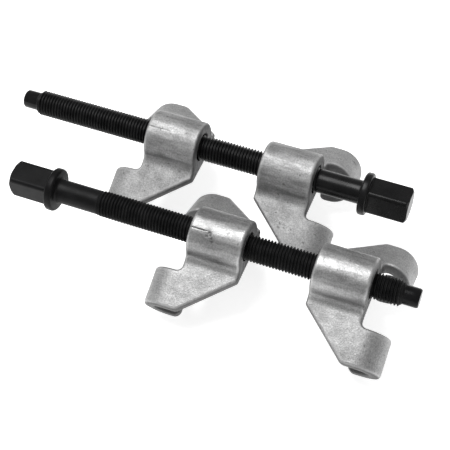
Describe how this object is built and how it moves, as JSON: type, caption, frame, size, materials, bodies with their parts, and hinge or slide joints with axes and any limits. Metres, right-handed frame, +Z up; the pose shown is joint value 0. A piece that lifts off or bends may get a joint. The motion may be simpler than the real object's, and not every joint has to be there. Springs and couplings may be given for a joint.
{
  "type": "coil spring compressor pair",
  "caption": "Pair of screw spring compressors: long square-headed screws, each with a threaded and a plain saddle jaw whose hooks face apart.",
  "frame": {"origin": "centre of the bounding box in plan, on the surface that the hook lips stand on", "axes": "+X along the screws, towards the rear screw's head and the front screw's tip; +Y across the pair, from the front compressor to the rear one; +Z up"},
  "size_m": [0.2846, 0.1546, 0.0604],
  "materials": {
    "black_oxide_steel": "black oxide, satin",
    "zinc_plated_steel": "zinc plate over a scaled forging, satin and grainy",
    "zinc_block_steel": "zinc plate, dull"
  },
  "bodies": {
    "plain_jaws": {"front_plain_jaw": "zinc_plated_steel", "front_guide_block": "zinc_block_steel", "rear_plain_jaw": "zinc_plated_steel", "rear_guide_block": "zinc_block_steel"},
    "front_screw_body": {"front_screw": "black_oxide_steel"},
    "front_threaded_jaw_body": {"front_threaded_jaw": "zinc_plated_steel", "front_nut_block": "zinc_block_steel"},
    "rear_screw_body": {"rear_screw": "black_oxide_steel"},
    "rear_threaded_jaw_body": {"rear_threaded_jaw": "zinc_plated_steel", "rear_nut_block": "zinc_block_steel"}
  },
  "joints": [
    {"name": "front_screw_turn", "type": "hinge", "parent": "plain_jaws", "child": "front_screw_body", "pos_m": [0, -0.0316, 0.04439], "axis": [1, 0, 0], "range_deg": [-2881, 3241]},
    {"name": "front_jaw_travel", "type": "slide", "parent": "plain_jaws", "child": "front_threaded_jaw_body", "axis": [1, 0, 0], "range_m": [-0.018, 0.016]},
    {"name": "rear_screw_turn", "type": "hinge", "parent": "plain_jaws", "child": "rear_screw_body", "pos_m": [0, 0.0316, 0.04439], "axis": [1, 0, 0], "range_deg": [-2881, 14041]},
    {"name": "rear_jaw_travel", "type": "slide", "parent": "plain_jaws", "child": "rear_threaded_jaw_body", "axis": [1, 0, 0], "range_m": [-0.078, 0.016]}
  ],
  "couplings": [
    {"joint": "front_screw_turn", "follows": "front_jaw_travel", "rad_per_m": -3141.6},
    {"joint": "rear_screw_turn", "follows": "rear_jaw_travel", "rad_per_m": -3141.6}
  ]
}
